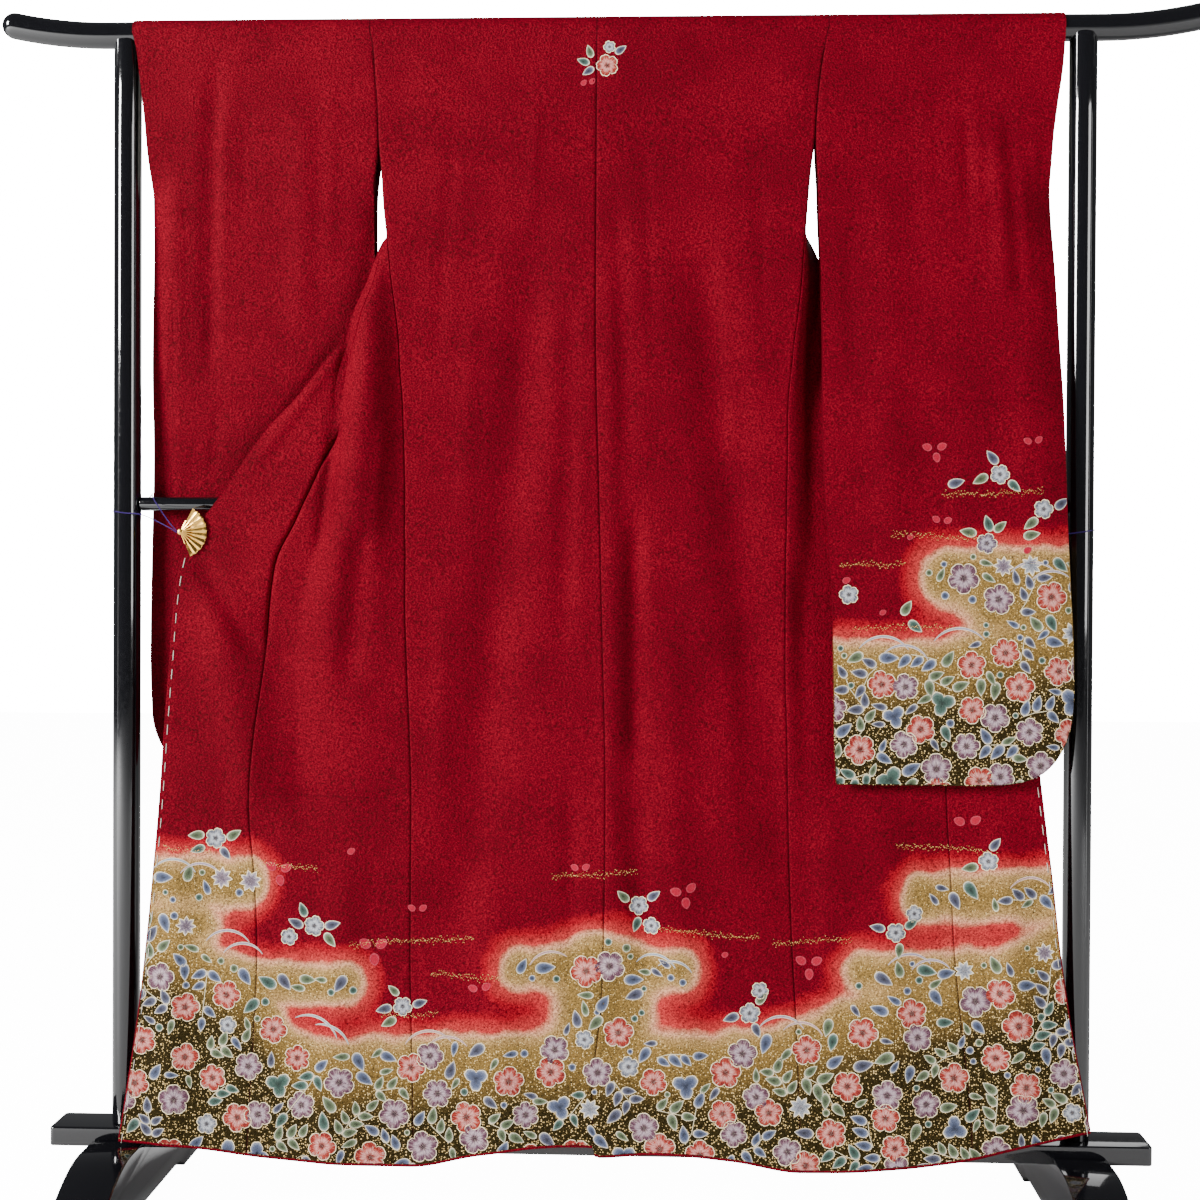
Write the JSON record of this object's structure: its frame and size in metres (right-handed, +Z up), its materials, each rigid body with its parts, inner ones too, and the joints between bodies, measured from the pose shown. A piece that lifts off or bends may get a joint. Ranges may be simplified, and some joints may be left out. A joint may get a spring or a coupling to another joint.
{
  "type": "furisode kimono on a kimono stand",
  "caption": "Long-sleeved silk kimono with a flowered hem, hung back outward on a lacquered stand, its fronts spread out at the sides.",
  "frame": {"origin": "on the floor, half way between the two posts of the stand", "axes": "+X to the right as the kimono's back is seen, +Y from the viewer through the garment, +Z up"},
  "size_m": [1.7246, 0.524, 1.721],
  "materials": {
    "crepe": "red silk crepe shaded through gold to dark olive at the hem, with small flowers and leaves",
    "collar_crepe": "plain red silk crepe",
    "lacquer": "glossy black lacquer",
    "gold": "polished gold plate",
    "thread": "purple sewing thread"
  },
  "bodies": {
    "root": {"body_left": "crepe", "body_right": "crepe", "okumi_left": "crepe", "okumi_right": "crepe", "sleeve_left": "crepe", "sleeve_right": "crepe", "collar": "collar_crepe", "top_rail": "lacquer", "mid_rail": "lacquer", "base_board": "lacquer", "post_left": "lacquer", "post_right": "lacquer", "foot_left": "lacquer", "foot_right": "lacquer", "clip_left": "gold", "clip_right": "gold", "thread_left": "thread", "thread_right": "thread"}
  },
  "joints": []
}
